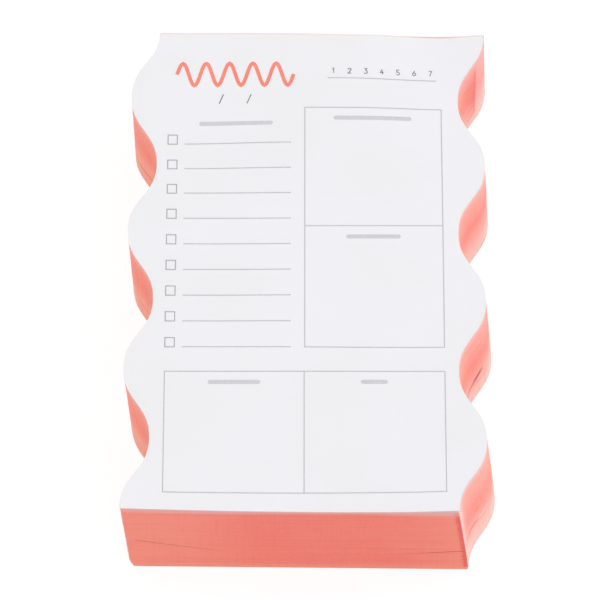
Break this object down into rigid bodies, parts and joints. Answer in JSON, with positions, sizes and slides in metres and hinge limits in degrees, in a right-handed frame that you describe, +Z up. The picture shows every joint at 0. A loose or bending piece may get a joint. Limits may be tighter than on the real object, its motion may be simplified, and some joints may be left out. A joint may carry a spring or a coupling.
{
  "type": "to-do list notepad",
  "caption": "Thick tear-off to-do notepad with wave-cut sides, painted edges and a glued far edge, on a backing board.",
  "frame": {"origin": "centre of the pad's box at the underside of the backing board", "axes": "+X to the reader's right, +Y along the sheet towards the glued edge, +Z up out of the printed page"},
  "size_m": [0.105, 0.1556, 0.0351],
  "materials": {
    "page": "smooth uncoated white paper",
    "painted_edge": "cut paper edges painted matte coral",
    "backing": "plain grey chipboard",
    "padding_glue": "thin flexible glue film, coral, slightly satin",
    "coral_ink": "flat coral print",
    "light_grey_ink": "flat light grey print",
    "dark_grey_ink": "flat mid grey print"
  },
  "bodies": {
    "root": {"backing_board": "backing", "binding_glue": "padding_glue", "date_slash_1": "dark_grey_ink", "date_slash_2": "dark_grey_ink", "header_flourish": "coral_ink", "left_panel_title": "light_grey_ink", "lower_note_title": "light_grey_ink", "notes_frame": "light_grey_ink", "page_block": "painted_edge", "panel_frame": "light_grey_ink", "right_panel_title": "light_grey_ink", "task_box_1": "light_grey_ink", "task_box_2": "light_grey_ink", "task_box_3": "light_grey_ink", "task_box_4": "light_grey_ink", "task_box_5": "light_grey_ink", "task_box_6": "light_grey_ink", "task_box_7": "light_grey_ink", "task_box_8": "light_grey_ink", "task_box_9": "light_grey_ink", "task_rule_1": "light_grey_ink", "task_rule_2": "light_grey_ink", "task_rule_3": "light_grey_ink", "task_rule_4": "light_grey_ink", "task_rule_5": "light_grey_ink", "task_rule_6": "light_grey_ink", "task_rule_7": "light_grey_ink", "task_rule_8": "light_grey_ink", "task_rule_9": "light_grey_ink", "task_title": "light_grey_ink", "top_sheet": "page", "upper_note_title": "light_grey_ink", "weekday_1": "dark_grey_ink", "weekday_2": "dark_grey_ink", "weekday_3": "dark_grey_ink", "weekday_4": "dark_grey_ink", "weekday_5": "dark_grey_ink", "weekday_6": "dark_grey_ink", "weekday_7": "dark_grey_ink", "weekday_underline": "light_grey_ink"}
  },
  "joints": []
}
